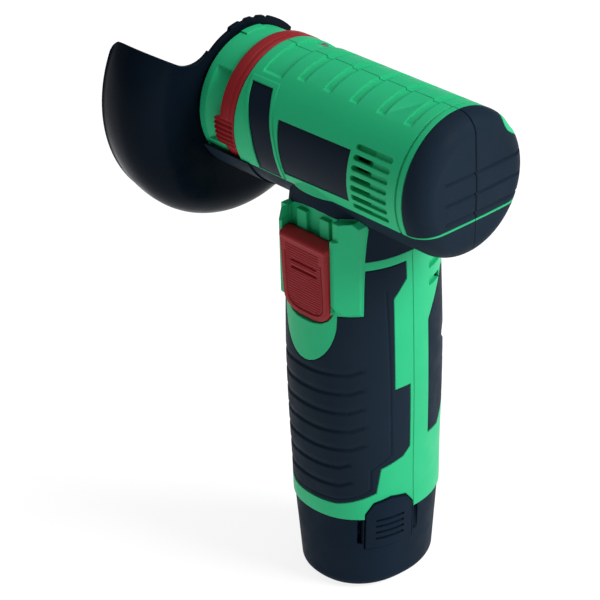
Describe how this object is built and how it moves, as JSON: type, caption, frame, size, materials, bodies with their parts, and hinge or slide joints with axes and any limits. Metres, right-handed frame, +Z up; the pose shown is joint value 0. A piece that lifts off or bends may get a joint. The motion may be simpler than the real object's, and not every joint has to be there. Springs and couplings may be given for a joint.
{
  "type": "die grinder",
  "caption": "Pistol-shaped cordless die grinder: ribbed barrel with a swivelling cup guard over its flanges, rubbered upright grip, thumb slide switch and slide-off battery.",
  "frame": {"origin": "middle of the battery's flat base", "axes": "+Z up the grip, +X along the barrel to the rear rubber cap, -X to the wheel flanges and guard, -Y the switch and label side"},
  "size_m": [0.1285, 0.09, 0.1893],
  "materials": {
    "green_plastic": "satin moulded plastic",
    "dark_rubber": "matt moulded-on rubber",
    "red_plastic": "satin moulded plastic",
    "black_plastic": "fine-grained moulded plastic",
    "label": "satin film, left blank",
    "guard_black": "gloss black coat on pressed steel",
    "steel": "ground steel",
    "can_steel": "zinc-plated steel",
    "lamination": "stacked electrical steel",
    "ferrite": "sintered ferrite, dark grey",
    "copper": "copper",
    "bronze": "sintered bronze",
    "carbon": "carbon brush",
    "circuit_board": "solder-masked board",
    "electronic_parts": "component bodies",
    "cell_wrap": "shrink-wrapped cells",
    "wire": "insulated wire",
    "white_plastic": "moulded plastic"
  },
  "bodies": {
    "housing": {"front_shell": "green_plastic", "back_shell": "green_plastic", "nose_housing": "green_plastic", "front_cap_rubber": "dark_rubber", "back_cap_rubber": "dark_rubber", "front_belly_rubber": "dark_rubber", "back_belly_rubber": "dark_rubber", "front_grip_rubber": "dark_rubber", "back_grip_rubber": "dark_rubber", "barrel_inlay": "label", "label_plate": "label", "housing_screws": "steel", "retainer_screws": "steel", "guard_retainer": "steel", "motor_can": "can_steel", "motor_end_bell": "black_plastic", "motor_magnets": "ferrite", "motor_bushings": "bronze", "carbon_brushes": "carbon", "brush_arms": "copper", "motor_terminals": "copper", "bearing_outer_race": "steel", "power_switch": "black_plastic", "control_board": "circuit_board", "board_parts": "electronic_parts", "motor_leads": "wire", "terminal_block": "black_plastic", "terminal_blades": "copper"},
    "spindle": {"shaft": "steel", "armature_stack": "lamination", "windings": "copper", "commutator": "copper", "motor_fan": "white_plastic", "bearing_inner_race": "steel", "bearing_balls": "steel", "inner_flange": "steel", "outer_flange": "steel", "clamp_screw": "steel"},
    "guard": {"guard": "guard_black"},
    "lock_ring": {"lock_ring": "red_plastic"},
    "switch": {"switch_slider": "red_plastic"},
    "battery": {"battery_base": "black_plastic", "battery_tower": "black_plastic", "battery_cells": "cell_wrap", "pack_board": "circuit_board", "pack_contacts": "copper"},
    "right_latch": {"right_latch": "black_plastic"},
    "left_latch": {"left_latch": "black_plastic"}
  },
  "joints": [
    {"name": "spindle_spin", "type": "hinge", "parent": "housing", "child": "spindle", "pos_m": [0, 0, 0.163], "axis": [1, 0, 0], "continuous": true},
    {"name": "guard_swivel", "type": "hinge", "parent": "housing", "child": "guard", "pos_m": [-0.0552, 0, 0.163], "axis": [1, 0, 0], "range_deg": [-90, 90]},
    {"name": "lock_ring_turn", "type": "hinge", "parent": "housing", "child": "lock_ring", "pos_m": [-0.0386, 0, 0.163], "axis": [-1, 0, 0], "range_deg": [0, 26], "stiffness_Nm_per_rad": 0.15},
    {"name": "switch_slide", "type": "slide", "parent": "housing", "child": "switch", "axis": [0, 0, 1], "range_m": [0, 0.006]},
    {"name": "battery_slide", "type": "slide", "parent": "housing", "child": "battery", "axis": [0, 0, -1], "range_m": [0, 0.055]},
    {"name": "right_latch_press", "type": "slide", "parent": "battery", "child": "right_latch", "axis": [-0.9135, 0.4067, 0], "range_m": [0, 0.0012], "stiffness_N_per_m": 1000},
    {"name": "left_latch_press", "type": "slide", "parent": "battery", "child": "left_latch", "axis": [0.9135, 0.4067, 0], "range_m": [0, 0.0012], "stiffness_N_per_m": 1000}
  ]
}
